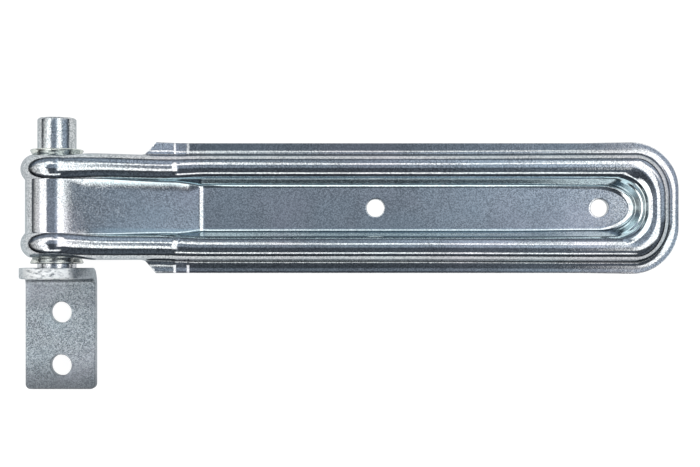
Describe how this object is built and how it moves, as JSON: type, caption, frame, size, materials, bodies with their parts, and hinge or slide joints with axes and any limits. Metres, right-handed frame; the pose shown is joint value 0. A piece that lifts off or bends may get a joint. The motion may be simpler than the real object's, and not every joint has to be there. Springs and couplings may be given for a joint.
{
  "type": "trailer side hinge",
  "caption": "Zinc-plated steel strap hinge: a long pressed strap with a rolled eye and a flared bush, turning on a pin fixed in a folded bracket and lifting off its free end.",
  "frame": {"origin": "middle of the strap's two bolt holes, on the strap's back face", "axes": "+X along the strap away from the pin, +Y along the pin towards its free end, +Z outwards from the mounting face"},
  "size_m": [0.2786, 0.1138, 0.0339],
  "materials": {
    "zinc_sheet": "bright zinc plating with a fine spangle on pressed sheet",
    "zinc_bush": "bright zinc plating, slightly yellow-green",
    "zinc_pin": "bright zinc plating on drawn bar",
    "zinc_bar": "satin zinc plating, finely mottled"
  },
  "bodies": {
    "strap": {"hinge_strap": "zinc_sheet"},
    "bush": {"bush": "zinc_bush"},
    "bracket": {"bracket_plate": "zinc_bar", "hinge_pin": "zinc_pin"}
  },
  "joints": [
    {"name": "pin_turn", "type": "hinge", "parent": "strap", "child": "bush", "pos_m": [-0.181, 0, 0.019], "axis": [0, 1, 0], "continuous": true},
    {"name": "pin_lift_off", "type": "slide", "parent": "bush", "child": "bracket", "axis": [0, -1, 0], "range_m": [-0.0017, 0.0605]}
  ]
}
